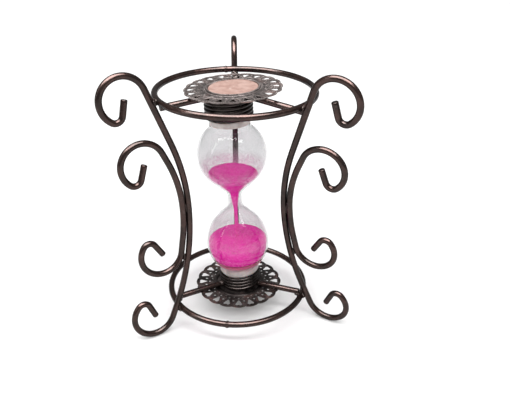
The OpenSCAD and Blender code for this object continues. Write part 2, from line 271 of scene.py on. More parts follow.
def make_materials():
    made = {}
    made["wire"] = lacquered_metal("wire_lacquer", (0.024, 0.0165, 0.0145), (0.050, 0.028, 0.024),
                                   (0.10, 0.074, 0.067))
    # painted shade: the coils get a darker copy of the wire lacquer, for the shade in and between
    # their turns
    made["coil"] = lacquered_metal("coil_lacquer_painted_darker", (0.016, 0.012, 0.011), (0.028, 0.021, 0.019),
                                   (0.055, 0.046, 0.043))
    made["weld"] = lacquered_metal("weld_lacquer", (0.020, 0.015, 0.0135), (0.036, 0.024, 0.021),
                                   (0.09, 0.075, 0.07), streaks=False, roughness=(0.28, 0.5))

    # stamped filigree: grey-brown, with dark grime and pink copper showing through in patches;
    # painted shade: darker towards the bottom, so the bottom cap is painted darker than the top
    # one
    s = Shader("antique_filigree", Metallic=0.8)
    cloud = s.noise(160, 5)
    grime = s.noise(900, 5, 0.65)
    # painted shade: this ramp paints the sheet darker towards the table, which makes the bottom
    # cap darker than the top cap
    high = s.ramp(s.height(), (0.3, 0.0), (0.7, 1.0))
    base = s.mix(high, (0.034, 0.028, 0.026), (0.15, 0.126, 0.12))
    base = s.mix(s.ramp(cloud, (0.40, 0.0), (0.64, 0.7)), base, (0.26, 0.215, 0.205))
    base = s.mix(s.ramp(s.noise(95, 3), (0.54, 0.0), (0.66, 0.7)), base, (0.42, 0.24, 0.21))
    base = s.mix(s.ramp(grime, (0.34, 0.8), (0.52, 0.0)), base, (0.020, 0.016, 0.015))
    s.feed("Base Color", base)
    s.feed("Roughness", s.spread(grime, 0.3, 0.7, 0.48, 0.26))
    s.feed("Normal", s.bump(s.math("ADD", grime, s.cells(1100)), 0.00012, 0.6))
    made["filigree"] = s.material

    # the raised work, rubbed brighter than the sheet; painted light and shade: it is painted
    # lighter towards the top, so the top cap's relief is brighter and the bottom cap's darker
    s = Shader("rubbed_relief_painted_by_height", Metallic=0.9)
    grime = s.noise(1100, 5, 0.65)
    # painted light and shade: lighter high up, darker near the table
    high = s.ramp(s.height(), (0.3, 0.0), (0.7, 1.0))
    base = s.mix(s.ramp(s.noise(120, 4), (0.42, 0.0), (0.62, 1.0)),
                 s.mix(high, (0.032, 0.026, 0.0245), (0.30, 0.262, 0.25)),
                 s.mix(high, (0.11, 0.094, 0.09), (0.62, 0.54, 0.52)))
    base = s.mix(s.ramp(grime, (0.32, 0.9), (0.47, 0.0)), base, (0.03, 0.024, 0.022))
    s.feed("Base Color", base)
    s.feed("Roughness", s.spread(grime, 0.3, 0.7, 0.42, 0.22))
    s.feed("Normal", s.bump(grime, 0.00008, 0.6))
    made["relief"] = s.material

    # thin copper plating with cloudy tarnish and hairline scratches in two directions
    s = Shader("copper_plate", Metallic=0.45)
    cloud = s.noise(170, 5, 0.6)
    base = s.mix(s.ramp(cloud, (0.36, 0.0), (0.62, 1.0)), (0.50, 0.29, 0.24), (0.74, 0.50, 0.43))
    base = s.mix(s.ramp(s.noise(480, 5, 0.7), (0.60, 0.0), (0.72, 0.75)), base,
                 (0.24, 0.12, 0.10))
    base = s.mix(s.ramp(s.noise(330, 4, 0.6, s.place((1, 1.6, 1))), (0.62, 0.0), (0.72, 0.6)),
                 base, (0.95, 0.84, 0.80))
    hair = s.noise(1.0, 3, vector=s.place((300, 9000, 300)))
    cross = s.noise(1.0, 3, vector=s.place((7000, 500, 300)))
    s.feed("Base Color", base)
    s.feed("Roughness", s.spread(cloud, 0.3, 0.7, 0.55, 0.36))
    s.feed("Normal", s.bump(s.math("ADD", s.math("ADD", hair, cross),
                                   s.math("MULTIPLY", s.noise(420, 4), 6.0)), 0.00006, 0.6))
    made["copper"] = s.material

    # blown glass with faint waves
    s = Shader("blown_glass", Roughness=0.0, IOR=1.27, Transmission_Weight=1.0,
               Base_Color=(0.755, 0.755, 0.76, 1))
    s.feed("Normal", s.bump(s.noise(55, 2), 0.0005, 0.15))
    made["glass"] = s.material

    # milky plug with cloudy streaks and dust
    s = Shader("milky_plug", Roughness=0.3, Subsurface_Weight=0.3, Subsurface_Scale=0.003)
    cloud = s.noise(260, 5)
    base = s.mix(s.ramp(cloud, (0.36, 0.0), (0.66, 1.0)), (0.29, 0.245, 0.24),
                 (0.47, 0.42, 0.41))
    # painted shadow: a dark pink band is painted on the top of the lower plug, where the sand
    # above shades it
    painted_sand_shadow = s.ramp(s.height(), (0.185, 0.0), (0.215, 0.35), (0.237, 0.9), (0.26, 0.9),
                   (0.30, 0.0))
    s.feed("Base Color", s.mix(painted_sand_shadow, base, (0.36, 0.02, 0.11)))
    s.feed("Normal", s.bump(s.noise(700, 4), 0.0002, 0.5))
    made["plug"] = s.material

    # dyed sand: each grain has its own shade, with a few pale and a few dark grains
    s = Shader("dyed_sand", Roughness=0.9, Specular_IOR_Level=0.05)
    grain = s.cells(3400, output=1)
    shade = s.node("ShaderNodeSeparateColor", 0, i0=grain)
    base = s.ramp(shade, (0.0, (0.46, 0.002, 0.16)), (0.45, (0.80, 0.004, 0.34)),
                  (0.9, (0.90, 0.010, 0.42)), (1.0, (0.96, 0.12, 0.58)))
    base = s.mix(s.ramp(s.noise(240, 4), (0.38, 0.0), (0.62, 0.35)), base, (0.90, 0.01, 0.42))
    clumps = s.noise(850, 5, 0.75)
    base = s.mix(s.ramp(clumps, (0.34, 0.55), (0.47, 0.0)), base, (0.50, 0.002, 0.20))
    base = s.mix(s.ramp(clumps, (0.54, 0.0), (0.68, 0.5)), base, (0.98, 0.14, 0.62))
    s.feed("Base Color", base)
    s.feed("Normal", s.bump(s.math("ADD", s.cells(3400), s.noise(1500, 3)), 0.00030, 0.9))
    made["sand"] = s.material

    # fine dust that clings to the inside of the bulbs, thickest just above the sand
    s = Shader("clinging_dust", Roughness=0.9)
    near = s.ramp(s.height(), (0.305, 0.0), (0.325, 0.5), (0.37, 0.2), (0.51, 0.2),
                  (0.53, 0.03), (0.612, 0.03), (0.622, 1.0), (0.65, 0.85), (0.685, 0.12),
                  (0.75, 0.04), (0.80, 0.0))
    specks = s.ramp(s.noise(1800, 4, 0.7), (0.36, 0.4), (0.62, 1.0))
    patches = s.ramp(s.noise(130, 4), (0.3, 0.35), (0.7, 1.0))
    s.feed("Base Color", s.mix(near, (0.42, 0.41, 0.42), (0.62, 0.22, 0.42)))
    s.feed("Alpha", s.math("MULTIPLY", s.math("MULTIPLY", specks, patches),
                           s.spread(near, 0, 1, 0.05, 0.85)))
    made["dust"] = s.material

    s = Shader("paper_floor", Roughness=0.85, Base_Color=(0.84, 0.84, 0.84, 1))
    s.feed("Normal", s.bump(s.noise(900, 3), 0.0001, 0.1))
    made["floor"] = s.material
    return made


MATERIALS = make_materials()


# ---- mesh helpers ----

def add_mesh(name, verts, faces, material, uvs=None, flat=()):
    """A mesh from millimetre points. uvs has a pair for each corner, flat the unsmoothed faces."""
    mesh = bpy.data.meshes.new(name)
    mesh.from_pydata([Vector(v) * MM for v in verts], [], faces)
    mesh.polygons.foreach_set("use_smooth", [i not in flat for i in range(len(faces))])
    if uvs:
        layer = mesh.uv_layers.new(name="UVMap")
        layer.data.foreach_set("uv", [x for pair in uvs for x in pair])
    mesh.materials.append(MATERIALS[material])
    mesh.update()
    made = bpy.data.objects.new(name, mesh)
    scene.collection.objects.link(made)
    return made


class Pile:
    """Gathers tubes, beads and lathed shapes into one mesh."""

    def __init__(self):
        self.verts, self.faces, self.uvs, self.flat = [], [], [], set()

    def face(self, ids, uv, flat=False):
        if flat:
            self.flat.add(len(self.faces))
        self.faces.append(ids)
        self.uvs += uv

    def tube(self, points, radius, sides=18, closed=False, wobble=0.0):
        """Sweeps a round section along points. An open tube has cut ends with a bevel."""
        points = [Vector(p) for p in points]
        n = len(points)
        tangents = []
        for k in range(n):
            a = points[k - 1] if closed or k else points[0]
            b = points[(k + 1) % n] if closed or k < n - 1 else points[-1]
            tangents.append((b - a).normalized())
        normal = tangents[0].orthogonal().normalized()
        sections, length = [], 0.0
        for k in range(n):
            if k:
                normal = (normal - tangents[k] * normal.dot(tangents[k])).normalized()
                length += (points[k] - points[k - 1]).length
            sections.append((points[k], tangents[k], normal.copy(), 1.0, length))
        if not closed:
            bevel, end_size, tip = 0.16 * radius, 0.86, 0.001
            first, last = sections[0], sections[-1]
            sections.insert(0, (first[0] - first[1] * tip, *first[1:3], end_size, first[4]))
            sections[1] = (first[0] + first[1] * bevel, *first[1:3], 1.0, bevel)
            sections[-1] = (last[0] - last[1] * bevel, *last[1:3], 1.0, last[4])
            sections.append((last[0] + last[1] * tip, *last[1:3], end_size, last[4] + bevel))
        rings = []
        for centre, tangent, side, swell, _ in sections:
            up = tangent.cross(side)
            size = radius * swell
            if wobble:
                size *= 1 + wobble * noise.noise(centre * 0.16) + wobble * 0.4 * noise.noise(
                    centre * 0.7)
            rings.append(len(self.verts))
            for j in range(sides):
                a = 2 * math.pi * j / sides
                self.verts.append(centre + (side * math.cos(a) + up * math.sin(a)) * size)
        count = len(rings)
        turns = 0
        if closed:
            # where the carried frame comes back turned, the last ring joins the first with a shift
            end, start = sections[-1], sections[0]
            up = start[1].cross(start[2])
            carried = end[2] - start[1] * end[2].dot(start[1])
            angle = math.atan2(carried.dot(up), carried.dot(start[2]))
            turns = round(angle / (2 * math.pi / sides))
        for k in range(count if closed else count - 1):
            wrap = k == count - 1
            a, b = rings[k], rings[(k + 1) % count]
            shift = turns if wrap else 0
            u0 = sections[k][4] / 10
            u1 = (sections[k][4] + 1) / 10 if wrap else sections[k + 1][4] / 10
            for j in range(sides):
                j2 = (j + 1) % sides
                self.face((a + j, a + j2, b + (j2 + shift) % sides, b + (j + shift) % sides),
                          [(u0, j / sides), (u0, (j + 1) / sides),
                           (u1, (j + 1) / sides), (u1, j / sides)])
        if not closed:
            for start, back in ((rings[0], True), (rings[-1], False)):
                ids = [start + j for j in range(sides)]
                self.face(tuple(reversed(ids)) if back else tuple(ids),
                          [(0.5, 0.5)] * sides, flat=True)

    def blob(self, centre, size, matrix=None, rough=0.0, seed=0.0, detail=2):
        """A ball stretched by size, turned by matrix and roughened."""
        bm = bmesh.new()
        bmesh.ops.create_icosphere(bm, subdivisions=detail, radius=1)
        start = len(self.verts)
        turn = matrix or Matrix.Identity(3)
        for v in bm.verts:
            swell = 1 + rough * noise.noise(v.co * 1.3 + Vector((seed, seed * 0.7, 3.1)))
            swell += rough * 0.4 * noise.noise(v.co * 3.4 + Vector((3.3, seed, seed)))
            p = Vector((v.co.x * size[0], v.co.y * size[1], v.co.z * size[2])) * swell
            self.verts.append(Vector(centre) + turn @ p)
        for f in bm.faces:
            self.face(tuple(start + v.index for v in f.verts), [(0.5, 0.5)] * 3)
        bm.free()

    def lathe(self, profile, sides=96, close=False, shift=None):
        """Turns (radius, height) points about Z. A zero radius closes an end, close joins
        the last point to the first, and shift(point, radius, angle) moves each point."""
        rings = []
        for r, z in profile:
            if r < 1e-6:
                rings.append([len(self.verts)])
                self.verts.append(Vector((0, 0, z)))
                continue
            rings.append([len(self.verts) + j for j in range(sides)])
            for j in range(sides):
                a = 2 * math.pi * j / sides
                p = Vector((r * math.cos(a), r * math.sin(a), z))
                self.verts.append(p if shift is None else shift(p, r, a))
        pairs = list(zip(rings, rings[1:])) + ([(rings[-1], rings[0])] if close else [])
        for k, (a, b) in enumerate(pairs):
            for j in range(sides):
                j2 = (j + 1) % sides
                u = (j / sides * 6, (j + 1) / sides * 6)
                if len(a) == 1:
                    self.face((a[0], b[j2], b[j]), [(u[0], k), (u[1], k + 1), (u[0], k + 1)])
                elif len(b) == 1:
                    self.face((a[j], a[j2], b[0]), [(u[0], k), (u[1], k), (u[0], k + 1)])
                else:
                    self.face((a[j], a[j2], b[j2], b[j]),
                              [(u[0], k), (u[1], k), (u[1], k + 1), (u[0], k + 1)])

    def made(self, name, material, matrix=None):
        verts = self.verts if matrix is None else [matrix @ Vector(v) for v in self.verts]
        return add_mesh(name, verts, self.faces, material, self.uvs, self.flat)


# The lacquered pieces, which the wide light shines on
GLOSSY = bpy.data.collections.new("glossy_wires")


def finished(piece, body, slot, *nodes):
    """Puts a piece on its body, adds lacquered metal to the glossy_wires collection, and hides the
    CAD nodes that it stands for.
    """
    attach(piece, body)
    if slot in ("stand_metal", "coil_metal", "weld_metal"):
        GLOSSY.objects.link(piece)
    if nodes:
        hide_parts(*nodes)
    return piece


# ---- bent wires ----

def bend(start, heading, steps):
    """Points of a flat run. A step is (bending radius, angle), or (0, length)."""
    p, h, out = Vector(start), math.radians(heading), [Vector(start)]
    for r, amount in steps:
        if r == 0:
            n = max(2, round(amount / 1.2))
            d = Vector((math.cos(h), math.sin(h)))
            out += [p + d * amount * k / n for k in range(1, n + 1)]
        else:
            s, side = math.radians(amount), math.copysign(1, amount)
            n = max(6, round(abs(s) * r / min(1.2, 0.12 * r)))
            centre = p + Vector((-math.sin(h), math.cos(h))) * r * side
            out += [centre + Vector((math.sin(h + s * k / n), -math.cos(h + s * k / n)))
                    * r * side for k in range(1, n + 1)]
            h += s
        p = out[-1]
    return out


def run_to_crown(height, bend_r, flare):
    """Straight run of a leg between its long bend and its curl, for a crown at height."""
    f = math.radians(flare)
    return (height - bend_r * math.sin(f) - CURL_R * (1 - math.sin(f))) / math.cos(f)


def stand_up(points, i):
    """Puts flat (radius, height) points on leg i's tipped plane."""
    a, t = math.radians(LEG_ANGLE[i]), math.radians(LEG_TILT[i])
    out_way = Vector((math.cos(a), math.sin(a), 0))
    up = Vector((-math.sin(a) * math.sin(t), math.cos(a) * math.sin(t), math.cos(t)))
    return [Vector((0, 0, MID_Z)) + out_way * p.x + up * p.y for p in points]


def both_ways(up_run, down_run):
    return list(reversed(down_run)) + up_run[1:]


def leg_line(i):
    lean = math.cos(math.radians(LEG_TILT[i]))
    up = run_to_crown(CROWN_RISE[i] / lean, LEG_TOP_R, TOP_FLARE[i])
    down = run_to_crown((MID_Z - WIRE_R) / lean, LEG_FOOT_R, FOOT_FLARE[i])
    waist = (WAIST_R[i], 0)
    return stand_up(both_ways(
        bend(waist, 90, [(LEG_TOP_R, -TOP_FLARE[i]), (0, up), (CURL_R, -CROWN_CURL),
                         (HOOK_R, -HOOK_BEND), (0, TAIL)]),
        bend(waist, -90, [(LEG_FOOT_R, FOOT_FLARE[i]), (0, down), (CURL_R, FOOT_CURL),
                          (HOOK_R, HOOK_BEND), (0, TAIL)])), i)


def side_line(i):
    waist = (WAIST_R[i] + 2 * WIRE_R + SIDE_GAP, 0)
    top_r, top_flare, top_run = SIDE_TOP
    foot_r, foot_flare, foot_run = SIDE_FOOT
    return stand_up(both_ways(
        bend(waist, 90, [(top_r, -top_flare), (0, top_run), (CURL_R, -SIDE_CURL),
                         (HOOK_R, -HOOK_BEND), (0, TAIL)]),
        bend(waist, -90, [(foot_r, foot_flare), (0, foot_run), (CURL_R, SIDE_CURL),
                          (HOOK_R, HOOK_BEND), (0, TAIL)])), i)


def make_scrolls():
    for i, name in enumerate(NAMES):
        for kind, line in (("leg", leg_line(i)), ("side", side_line(i))):
            pile = Pile()
            pile.tube(line, WIRE_R, 20, wobble=0.012)
            node = f"{kind}_scroll_{name}"
            finished(pile.made(f"{kind}_wire_{name}", "wire"), "stand", "stand_metal", node)


def make_rings():
    for name, r, z, seam in (("top", TOP_R, TOP_Z, 98), ("bottom", BOTTOM_R, BASE_Z, 262)):
        pile = Pile()
        n = 220
        pile.tube([(r * math.cos(2 * math.pi * k / n), r * math.sin(2 * math.pi * k / n), z)
                   for k in range(n)], WIRE_R, 20, closed=True, wobble=0.012)
        # butt weld where the ring was closed
        a = math.radians(seam)
        way = Matrix.Rotation(a, 3, "Z")
        pile.blob((r * math.cos(a), r * math.sin(a), z), (1.85, 1.2, 1.8), way, 0.2, 2.0, 3)
        finished(pile.made(f"{name}_hoop", "wire"), "stand", "stand_metal", f"{name}_ring")


# ---- spokes ----

def axis_x(z):
    """How far the leaning axis of the vial is from the rings' axis at a height."""
    return -(z - (PIVOT.z - BASE_Z)) * math.tan(LEAN)


def spoke_line(angle, coil_r, start_z, end_r, end_z):
    a = math.radians(angle)
    start_r = coil_r + COIL_WIRE_R + axis_x(start_z) * math.cos(a) + SPOKE_TO_COIL
    points = []
    n = 12
    for k in range(n + 1):
        t = k / n
        r = start_r + (end_r - start_r) * t
        points.append((r * math.cos(a), r * math.sin(a),
                       BASE_Z + start_z + (end_z - start_z) * t))
    return points


def make_spokes():
    end_z = 2 * WIRE_R + SPOKE_GAP
    for i, name in enumerate(NAMES):
        for where, points in (
                ("top", spoke_line(TOP_SPOKE_ANGLE[i], TOP_COIL_R, TOP_SPOKE_Z,
                                   TOP_SPOKE_END_R, SPACING - end_z)),
                ("bottom", spoke_line(BOTTOM_SPOKE_ANGLE[i], BOTTOM_COIL_R, BOTTOM_SPOKE_Z,
                                      BOTTOM_SPOKE_END_R, end_z))):
            pile = Pile()
            pile.tube(points, WIRE_R, 20, wobble=0.015)
            finished(pile.made(f"{where}_stay_{name}", "wire"), "stand", "stand_metal",
                     f"{where}_spoke_{name}")


# ---- coil cups ----

def make_coils():
    for name, r, z, total in (("top", TOP_COIL_R, TOP_COIL_Z, TOP_COIL_BEND),
                              ("bottom", BOTTOM_COIL_R, BOTTOM_COIL_Z, BOTTOM_COIL_BEND)):
        points, step = [], 5
        for k in range(total // step + 1):
            turn = step * k
            a = math.radians(COIL_START + turn)
            loose = r + 0.05 * math.sin(turn * 0.011) + 0.03 * math.sin(turn * 0.037)
            points.append((loose * math.cos(a), loose * math.sin(a),
                           z + COIL_PITCH * turn / 360))
        pile = Pile()
        pile.tube(points, COIL_WIRE_R, 18, wobble=0.012)
        finished(pile.made(f"{name}_coil", "coil", LEANING), "stand", "coil_metal",
                 f"{name}_coil_cup")


# ---- filigree caps ----

def scallop_line(inset, n=24):
    """Closed outline of the scalloped rim, drawn in by inset."""
    r = SCALLOP_R - inset
    half = math.pi / CAP_FANS
    reach = RIM_R * math.sin(half) / r
    spread = math.pi / 2 + half - (math.acos(reach) if reach < 1 else 0)
    points = []
    for k in range(CAP_FANS):
        base = 2 * math.pi * k / CAP_FANS
        for j in range(n):
            a = base - spread + 2 * spread * j / (n - 1)
            points.append(Vector((RIM_R * math.cos(base) + r * math.cos(a),
                                  RIM_R * math.sin(base) + r * math.sin(a), 0)))
    return points


def ring_line(x, y, z, r, n=14):
    """Points round a level circle."""
    return [(x + r * math.cos(2 * math.pi * k / n), y + r * math.sin(2 * math.pi * k / n), z)
            for k in range(n)]


def evenly(points, gap):
    """Points a gap apart along a closed line."""
    out, carried = [], 0.0
    for a, b in zip(points, points[1:] + points[:1]):
        length = (b - a).length
        while carried <= length and length > 0:
            out.append(a + (b - a) * (carried / length))
            carried += gap
        carried -= length
    return out


def cap_relief(pile, z):
    """Raised work of a cap: beaded rim, fans, ringed holes, hoops and rows of pearls."""
    bead, bead_gap, bead_drop = 0.38, 0.78, 0.05
    for p in evenly(scallop_line(0.34), bead_gap):
        pile.blob((p.x, p.y, z - bead_drop), (bead, bead, bead), detail=1)
    for r, wire in ((CAP_R - 6.25, 0.16), (13.3, 0.24)):
        pile.tube(ring_line(0, 0, z, r, 150), wire, 8, closed=True)
    pearl = (0.22, 0.22, 0.24)
    for r, pearl_gap in ((CAP_R - 0.95, 0.7), (12.75, 0.6)):
        for p in evenly([Vector(q) for q in ring_line(0, 0, z, r, 150)], pearl_gap):
            pile.blob(p, pearl, detail=1)
    fan = [(5.95, 0.0), (5.6, 0.5), (2.55, 1.98), (1.7, 1.75), (1.32, 1.0), (1.7, 0.0)]
    fan += [(x, -y) for x, y in reversed(fan[1:-1])]
    for k in range(CAP_FANS):
        turn = Matrix.Rotation(2 * math.pi * k / CAP_FANS, 3, "Z")
        half = Matrix.Rotation(2 * math.pi * (k + 0.5) / CAP_FANS, 3, "Z")
        pile.tube([turn @ Vector((CAP_R - x, y, z)) for x, y in fan], 0.16, 7, closed=True)
        for way, r, hoop_r in ((turn, FAN_HOLE_R, 0.72), (half, OUTER_HOLE_R, 0.8)):
            c = way @ Vector((r, 0, z))
            pile.tube(ring_line(c.x, c.y, c.z, hoop_r), 0.15, 6, closed=True)
        for x in (2.2, 3.0, 3.75):
            pile.blob(half @ Vector((CAP_R - x, 0, z)), (0.34, 0.34, 0.3), detail=1)


def cap_plate(pile, low, high):
    """The pierced sheet of a cap. Stamped sheet is thin, so it fills the top of the CAD plate."""
    loops = [scallop_line(0)]
    fan = [(5.8, -0.35), (2.5, -1.8), (1.5, -1.0), (1.9, 0.0), (1.5, 1.0), (2.5, 1.8), (5.8, 0.35)]
    for k in range(CAP_FANS):
        turn = Matrix.Rotation(2 * math.pi * k / CAP_FANS, 3, "Z")
        half = Matrix.Rotation(2 * math.pi * (k + 0.5) / CAP_FANS, 3, "Z")
        loops.append([turn @ Vector((CAP_R - x, y, 0)) for x, y in fan])
        for way, r, d in ((turn, FAN_HOLE_R, FAN_HOLE_D), (half, OUTER_HOLE_R, OUTER_HOLE_D),
                          (half, INNER_HOLE_R, INNER_HOLE_D)):
            loops.append([way @ Vector(p) for p in ring_line(r, 0, 0, d / 2)])
    triangles = geometry.tessellate_polygon(loops)
    points = [p for loop in loops for p in loop]
    start, n = len(pile.verts), len(points)
    pile.verts += [Vector((p.x, p.y, z)) for z in (low, high) for p in points]
    for a, b, c in triangles:
        if (points[b] - points[a]).cross(points[c] - points[a]).z < 0:
            b, c = c, b
        pile.face((start + c, start + b, start + a), [(0, 0)] * 3, flat=True)
        pile.face((start + n + a, start + n + b, start + n + c), [(0, 0)] * 3, flat=True)
    first = start
    for k, loop in enumerate(loops):
        m = len(loop)
        area = sum(a.cross(b).z for a, b in zip(loop, loop[1:] + loop[:1]))
        for j in range(m):
            a, b = first + j, first + (j + 1) % m
            if (area > 0) != (k == 0):
                a, b = b, a
            pile.face((a, b, b + n, a + n), [(0, 0)] * 4, flat=True)
        first += m


def on_cap(name, tilt):
    """Puts things drawn about a cap's middle on that cap."""
    place = [middle(f"{name}_filigree_cap", axis) for axis in range(3)]
    return Matrix.Translation(place) @ Matrix.Rotation(-math.radians(tilt), 4, "Y")


def make_caps():
    for name, matrix in (("top", on_cap("top", CAP_TILT)), ("bottom", on_cap("bottom", 0))):
        pile = Pile()
        cap_relief(pile, CAP_T / 2)
        finished(pile.made(f"{name}_cap_relief", "relief", matrix), "stand", "antique_filigree")
        plate = Pile()
        cap_plate(plate, CAP_T / 2 - SHEET_T, CAP_T / 2)
        finished(plate.made(f"{name}_cap_sheet", "filigree", matrix), "stand",
                 "antique_filigree", f"{name}_filigree_cap")


def make_medallion():
    def dented(p, r, a):
        p.z += 0.10 * noise.noise(Vector((p.x * 0.22, p.y * 0.22, 1.7)))
        p.z += 0.03 * noise.noise(Vector((p.x * 0.8, p.y * 0.8, 4.2)))
        return p

    pile = Pile()
    # a flat disc with a rounded edge
    top = 0.5
    profile = [(0, top)] + [(r / 4, top) for r in range(2, 42)]
    profile += [(10.7, top - 0.02), (11.0, top - 0.09), (11.25, top - 0.24), (11.36, 0.02)]
    pile.lathe([(r, z) for r, z in reversed(profile)], 120, shift=dented)
    matrix = on_cap("top", CAP_TILT) @ Matrix.Translation((0, 0, CAP_T / 2))
    finished(pile.made("copper_disc", "copper", matrix), "stand", "copper_medallion",
             "top_medallion")

    # two strands twisted together round the disc
    rope = Pile()
    n, twists, twist_r, lift = 560, 70, 0.15, 0.33
    for phase in (0, math.pi):
        strand = []
        for k in range(n):
            a = 2 * math.pi * k / n
            b = twists * a + phase
            out = ROPE_R + twist_r * math.cos(b)
            strand.append((out * math.cos(a), out * math.sin(a), lift + twist_r * math.sin(b)))
        rope.tube(strand, 0.2, 7, closed=True)
    finished(rope.made("copper_rope", "relief", matrix), "stand", "antique_filigree",
             "top_rope_edge")

    bump = Pile()
    bump.blob((0.9, 14.6, 0.05), (1.75, 1.5, 1.25), None, 0.3, 5.0, 4)
    bump.blob((2.0, 15.2, 0.0), (0.95, 0.8, 0.6), None, 0.3, 8.0, 3)
    finished(bump.made("solder_bump", "weld", matrix), "stand", "weld_metal", "top_solder_bead")


def make_collar():
    pile = Pile()
    section = []
    n, notches = 14, 72
    for k in range(n + 1):
        a = math.pi * k / n
        section.append((COLLAR_R - COLLAR_HALF_W * math.cos(a),
                        0.02 + COLLAR_H * math.sin(a) ** 0.8))

    def knurled(p, r, a):
        p.z += 0.05 * math.cos(a * notches) * max(0.0, p.z) * 1.5
        return p

    pile.lathe(list(reversed(section)), 288, shift=knurled)
    matrix = on_cap("bottom", 0) @ Matrix.Translation((0, 0, CAP_T / 2))
    finished(pile.made("bright_collar", "relief", matrix), "stand", "antique_filigree",
             "bottom_collar")


# ---- welds ----

def ring_angle(i, r, side):
    """Where leg i's tipped plane meets a ring of radius r. side is 1 at the top."""
    t = math.radians(LEG_TILT[i])
    return LEG_ANGLE[i] + side * math.degrees(
        math.atan(SPACING / 2 * math.sin(t) / (r + 2 * WIRE_R)))


def at(angle, r, z):
    """A point at an angle and radius about the rings' axis, and z above the bottom ring."""
    a = math.radians(angle)
    return Vector((r * math.cos(a), r * math.sin(a), BASE_Z + z))


def make_welds():
    for name, r, level, up, angles, coil_r, coil_z in (
            ("top", TOP_R, SPACING, 1, TOP_SPOKE_ANGLE, TOP_COIL_R, TOP_SPOKE_Z),
            ("bottom", BOTTOM_R, 0, -1, BOTTOM_SPOKE_ANGLE, BOTTOM_COIL_R, BOTTOM_SPOKE_Z)):
        pile = Pile()
        for i in range(3):
            a = ring_angle(i, r, up)
            way = Matrix.Rotation(math.radians(a), 3, "Z")
            pile.blob(at(a, r + WIRE_R, level - 0.5 * up), (1.25, 1.6, 1.65), way, 0.28, i + up, 4)
            pile.blob(at(a + 2.2, r + WIRE_R - 0.3, level + 0.5 * up), (0.9, 0.95, 0.9), way, 0.3,
                      i + 6.5, 3)
            way = Matrix.Rotation(math.radians(angles[i]), 3, "Z")
            pile.blob(at(angles[i], r - 1.5, level - 1.7 * up), (1.5, 1.75, 1.1), way, 0.28,
                      i + 3.3, 4)
            start = coil_r + COIL_WIRE_R + axis_x(coil_z) * math.cos(math.radians(angles[i]))
            pile.blob(at(angles[i], start + 0.4, coil_z - 0.4 * up), (1.3, 1.9, 1.7), way, 0.3,
                      i + 9.1, 4)
        finished(pile.made(f"{name}_welds", "weld"), "stand", "weld_metal", f"{name}_weld_beads")

    pile = Pile()
    for i in range(3):
        gap = WIRE_R + SIDE_GAP / 2
        bow = LEG_FOOT_R - math.sqrt(LEG_FOOT_R ** 2 - LOWER_TACK_DROP ** 2)
        flat = [Vector((WAIST_R[i] + gap, 0)),
                Vector((WAIST_R[i] + bow + LOWER_TACK_OUT, -LOWER_TACK_DROP))]
        for k, p in enumerate(stand_up(flat, i)):
            way = Matrix.Rotation(math.radians(LEG_ANGLE[i]), 3, "Z")
            pile.blob(p, (0.95, 1.15, 2.3 if k == 0 else 2.0), way, 0.3, i + 2.7 * k, 4)
    finished(pile.made("scroll_tacks", "weld"), "stand", "weld_metal", "scroll_tack_welds")


# ---- vial ----

def arc(x, y, rx, ry, a, b, n):
    """n + 1 points of an ellipse about (x, y), from angle a to b."""
    out = []
    for k in range(n + 1):
        t = math.radians(a + (b - a) * k / n)
        out.append((x + rx * math.cos(t), y + ry * math.sin(t)))
    return out


def vial_outline(inset, throat_r):
    """Outline of the vial from its bottom end up, drawn in by inset, as in the CAD."""
    cos, sin, deg, rad = math.cos, math.sin, math.degrees, math.radians
    low_r, low_h, high_r = LOWER_BULB_R - inset, LOWER_BULB_H - inset, UPPER_BULB_R - inset
    low_join, high_join, bend_r = rad(LOWER_JOIN), rad(UPPER_JOIN), THROAT_BEND_R
    low_tube, high_tube = BOTTOM_TUBE_R - inset, TOP_TUBE_R - inset
    low_end = BOTTOM_COIL_R - COIL_WIRE_R - CUP_GAP - inset
    high_end = TOP_COIL_R - COIL_WIRE_R - CUP_GAP - inset
    # the throat's bends meet the bulbs at these radii and heights
    slope = math.atan2(low_r * sin(low_join), low_h * cos(low_join))
    low_r2 = throat_r + bend_r * (1 - cos(slope))
    low_z2 = (LOWER_BULB_Z + low_h * sin(low_join)
              + (low_r * cos(low_join) - low_r2) / math.tan(slope))
    high_r2 = throat_r + bend_r * (1 - cos(high_join))
    high_z2 = (UPPER_BULB_Z - high_r * sin(high_join)
               - (high_r * cos(high_join) - high_r2))
    x = throat_r + bend_r
    return ([(low_end, VIAL_BOTTOM_Z), (low_end, LOW_TUBE_Z - SHOULDER_H),
             (low_tube, LOW_TUBE_Z)]
            + arc(0, LOWER_BULB_Z, low_r, low_r, -deg(math.acos(low_tube / low_r)), 0, 24)
            + arc(0, LOWER_BULB_Z, low_r, low_h, 2, LOWER_JOIN, 30)
            + arc(x, low_z2 + bend_r * sin(slope), bend_r, bend_r, 180 + deg(slope), 180, 16)
            + arc(x, high_z2 - bend_r * sin(high_join), bend_r, bend_r, 180,
                  180 - UPPER_JOIN, 16)
            + arc(0, UPPER_BULB_Z, high_r, high_r, -UPPER_JOIN,
                  deg(math.acos(high_tube / high_r)), 48)
            + [(high_tube, HIGH_TUBE_Z), (high_end, HIGH_TUBE_Z + SHOULDER_H),
               (high_end, VIAL_TOP_Z)])


def radius_at(outline, z):
    for (r0, z0), (r1, z1) in zip(outline, outline[1:]):
        if z0 <= z <= z1 and z1 > z0:
            return r0 + (r1 - r0) * (z - z0) / (z1 - z0)
    return outline[-1][0]


def rows_along(outline, low, high, n):
    """Evenly spaced (radius, height) points of an outline between two heights."""
    return [(radius_at(outline, low + (high - low) * k / n), low + (high - low) * k / n)
            for k in range(n + 1)]


